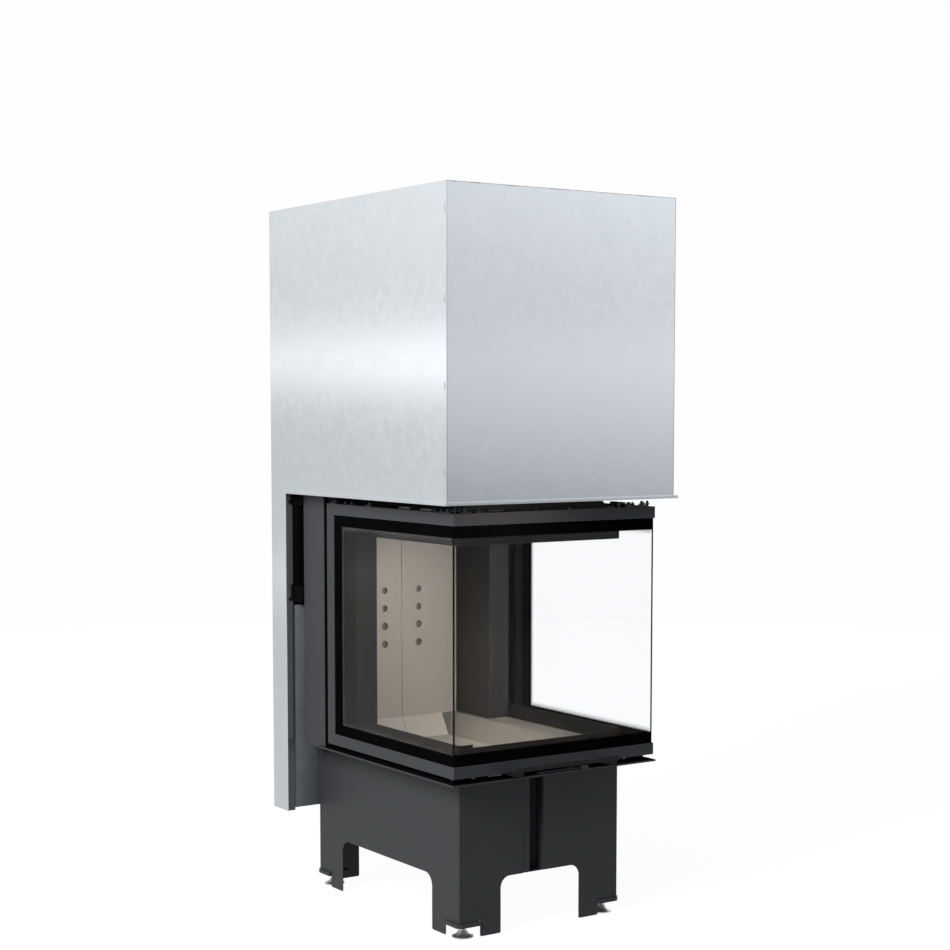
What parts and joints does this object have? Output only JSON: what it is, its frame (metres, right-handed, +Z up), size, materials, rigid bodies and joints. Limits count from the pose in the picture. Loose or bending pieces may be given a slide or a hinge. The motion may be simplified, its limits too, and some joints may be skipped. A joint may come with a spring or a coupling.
{
  "type": "three-sided fireplace insert",
  "caption": "Three-sided fireplace insert with a lift-up glass door, ceramic hearth, galvanised hood, counterweight casing and a base on levelling feet.",
  "frame": {"origin": "on the floor under the centre of the bounding box", "axes": "+X to the right along the front, +Y to the back, +Z up"},
  "size_m": [0.632, 0.801, 1.64],
  "materials": {
    "galvanised_sheet": "galvanised sheet steel",
    "anthracite_paint": "matt stove paint",
    "black_paint": "matt black",
    "ceramic": "pressed fireclay",
    "glass": "ceramic glass",
    "zinc": "zinc plated",
    "roller_plastic": "moulded"
  },
  "bodies": {
    "insert": {"base_left_shell": "anthracite_paint", "base_right_shell": "anthracite_paint", "base_slot_channel": "anthracite_paint", "foot_brackets": "anthracite_paint", "ledge_plate": "anthracite_paint", "firebox_pan": "anthracite_paint", "sill_rail": "anthracite_paint", "hearth_floor": "ceramic", "hearth_front": "ceramic", "hearth_back": "ceramic", "hearth_left": "ceramic", "hearth_right": "ceramic", "column_left": "anthracite_paint", "column_right": "anthracite_paint", "back_panels": "ceramic", "rear_wall": "anthracite_paint", "lintel_frame": "black_paint", "baffle_plate": "ceramic", "smoke_dome": "black_paint", "flue_collar": "black_paint", "air_box": "anthracite_paint", "guide_column_left": "anthracite_paint", "guide_column_right": "anthracite_paint", "guide_rails": "zinc", "casing_ties": "galvanised_sheet", "hood_brackets": "galvanised_sheet", "bearing_brackets": "anthracite_paint", "cable_left": "zinc", "cable_right": "zinc", "rear_casing": "galvanised_sheet", "hood_left_panel": "galvanised_sheet", "hood_right_panel": "galvanised_sheet", "hood_front_panel": "galvanised_sheet", "hood_lip": "galvanised_sheet", "hood_top_frame": "galvanised_sheet", "sheet_screws": "zinc"},
    "door": {"front_bottom_bar": "anthracite_paint", "front_top_bar": "anthracite_paint", "side_frame_left": "anthracite_paint", "side_frame_right": "anthracite_paint", "glass_front": "glass", "glass_left": "glass", "glass_right": "glass", "door_handle": "black_paint", "door_clamps": "black_paint", "carriage_left": "anthracite_paint", "carriage_right": "anthracite_paint"},
    "lift_shaft": {"lift_shaft": "zinc", "pulleys": "black_paint"},
    "counterweight_left": {"counterweight_left": "black_paint"},
    "roller_left_lower": {"roller_left_lower": "roller_plastic"},
    "roller_left_upper": {"roller_left_upper": "roller_plastic"},
    "counterweight_right": {"counterweight_right": "black_paint"},
    "roller_right_lower": {"roller_right_lower": "roller_plastic"},
    "roller_right_upper": {"roller_right_upper": "roller_plastic"},
    "air_lever": {"air_lever": "black_paint"},
    "foot_front_left": {"foot_front_left": "zinc"},
    "foot_front_right": {"foot_front_right": "zinc"},
    "foot_rear_left": {"foot_rear_left": "zinc"},
    "foot_rear_right": {"foot_rear_right": "zinc"}
  },
  "joints": [
    {"name": "door_lift", "type": "slide", "parent": "insert", "child": "door", "axis": [0, 0, 1], "range_m": [0, 0.49], "deforming": ["cable_left", "cable_right"]},
    {"name": "shaft_turn", "type": "hinge", "parent": "insert", "child": "lift_shaft", "pos_m": [0, 0.3045, 1.57], "axis": [-1, 0, 0], "range_deg": [0, 469.9]},
    {"name": "counterweight_left_drop", "type": "slide", "parent": "insert", "child": "counterweight_left", "axis": [0, 0, -1], "range_m": [0, 0.49]},
    {"name": "roller_left_lower_turn", "type": "hinge", "parent": "door", "child": "roller_left_lower", "pos_m": [-0.261, 0.2445, 0.6], "axis": [-1, 0, 0], "range_deg": [0, 1873.7]},
    {"name": "roller_left_upper_turn", "type": "hinge", "parent": "door", "child": "roller_left_upper", "pos_m": [-0.261, 0.2445, 0.85], "axis": [1, 0, 0], "range_deg": [0, 1873.7]},
    {"name": "counterweight_right_drop", "type": "slide", "parent": "insert", "child": "counterweight_right", "axis": [0, 0, -1], "range_m": [0, 0.49]},
    {"name": "roller_right_lower_turn", "type": "hinge", "parent": "door", "child": "roller_right_lower", "pos_m": [0.261, 0.2445, 0.6], "axis": [-1, 0, 0], "range_deg": [0, 1873.7]},
    {"name": "roller_right_upper_turn", "type": "hinge", "parent": "door", "child": "roller_right_upper", "pos_m": [0.261, 0.2445, 0.85], "axis": [1, 0, 0], "range_deg": [0, 1873.7]},
    {"name": "air_lever_slide", "type": "slide", "parent": "insert", "child": "air_lever", "axis": [-1, 0, 0], "range_m": [0, 0.04]},
    {"name": "foot_front_left_screw", "type": "slide", "parent": "insert", "child": "foot_front_left", "axis": [0, 0, -1], "range_m": [0, 0.02]},
    {"name": "foot_front_right_screw", "type": "slide", "parent": "insert", "child": "foot_front_right", "axis": [0, 0, -1], "range_m": [0, 0.02]},
    {"name": "foot_rear_left_screw", "type": "slide", "parent": "insert", "child": "foot_rear_left", "axis": [0, 0, -1], "range_m": [0, 0.02]},
    {"name": "foot_rear_right_screw", "type": "slide", "parent": "insert", "child": "foot_rear_right", "axis": [0, 0, -1], "range_m": [0, 0.02]}
  ],
  "couplings": [
    {"joint": "shaft_turn", "follows": "door_lift", "rad_per_m": 16.667},
    {"joint": "counterweight_left_drop", "follows": "door_lift", "ratio": 1},
    {"joint": "roller_left_lower_turn", "follows": "door_lift", "rad_per_m": 66.667},
    {"joint": "roller_left_upper_turn", "follows": "door_lift", "rad_per_m": 66.667},
    {"joint": "counterweight_right_drop", "follows": "door_lift", "ratio": 1},
    {"joint": "roller_right_lower_turn", "follows": "door_lift", "rad_per_m": 66.667},
    {"joint": "roller_right_upper_turn", "follows": "door_lift", "rad_per_m": 66.667}
  ]
}
